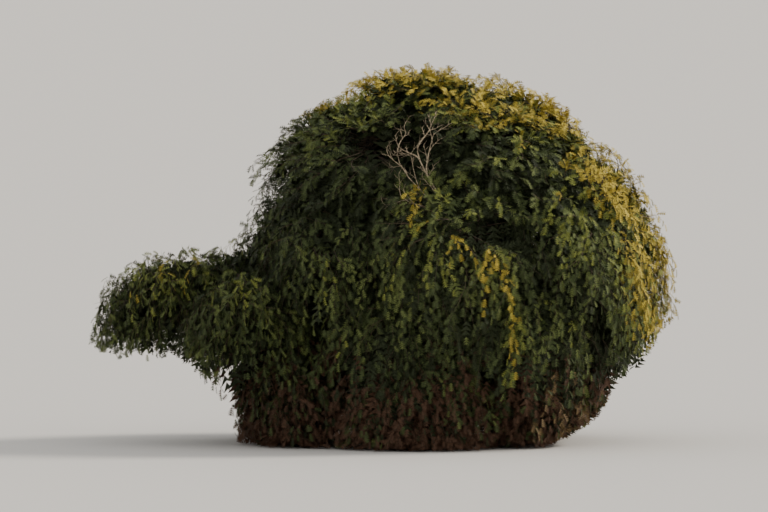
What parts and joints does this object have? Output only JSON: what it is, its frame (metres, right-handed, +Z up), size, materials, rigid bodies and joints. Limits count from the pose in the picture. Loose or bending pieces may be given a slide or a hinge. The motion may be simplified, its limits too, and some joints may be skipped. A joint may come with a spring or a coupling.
{
  "type": "acacia tree",
  "caption": "Low-branched domed tree: a short trunk, spreading boughs and a shell of drooping leafy masses, with a low lobe to one side.",
  "frame": {"origin": "centre of the flat cut under the trunk, at ground level", "axes": "+Z up along the trunk, +X towards the crown's right as the picture shows it, away from the low lobe, -Y towards the viewer"},
  "size_m": [9.1859, 6.783, 5.9783],
  "materials": {
    "bark": "rough grey-brown bark with fine upright cracks",
    "foliage": "dull olive-green feathery leaves, golden at the crown's top and right"
  },
  "bodies": {
    "root": {"trunk": "bark", "bough_top_1": "bark", "bough_upper_1": "bark", "bough_upper_2": "bark", "bough_upper_3": "bark", "bough_upper_4": "bark", "bough_upper_5": "bark", "bough_shoulder_1": "bark", "bough_shoulder_2": "bark", "bough_shoulder_3": "bark", "bough_shoulder_4": "bark", "bough_shoulder_5": "bark", "bough_shoulder_6": "bark", "bough_shoulder_7": "bark", "bough_side_1": "bark", "bough_side_2": "bark", "bough_side_3": "bark", "bough_side_4": "bark", "bough_side_5": "bark", "bough_side_6": "bark", "bough_side_7": "bark", "bough_low_1": "bark", "bough_low_2": "bark", "bough_low_3": "bark", "bough_low_4": "bark", "bough_low_5": "bark", "bough_low_6": "bark", "bough_left_1": "bark", "bough_left_2": "bark", "bough_left_3": "bark", "foliage_top_1": "foliage", "foliage_upper_1": "foliage", "foliage_upper_2": "foliage", "foliage_upper_3": "foliage", "foliage_upper_4": "foliage", "foliage_upper_5": "foliage", "foliage_shoulder_1": "foliage", "foliage_shoulder_2": "foliage", "foliage_shoulder_3": "foliage", "foliage_shoulder_4": "foliage", "foliage_shoulder_5": "foliage", "foliage_shoulder_6": "foliage", "foliage_shoulder_7": "foliage", "foliage_side_1": "foliage", "foliage_side_2": "foliage", "foliage_side_3": "foliage", "foliage_side_4": "foliage", "foliage_side_5": "foliage", "foliage_side_6": "foliage", "foliage_side_7": "foliage", "foliage_low_1": "foliage", "foliage_low_2": "foliage", "foliage_low_3": "foliage", "foliage_low_4": "foliage", "foliage_low_5": "foliage", "foliage_low_6": "foliage", "foliage_left_1": "foliage", "foliage_left_2": "foliage", "foliage_left_3": "foliage"}
  },
  "joints": []
}
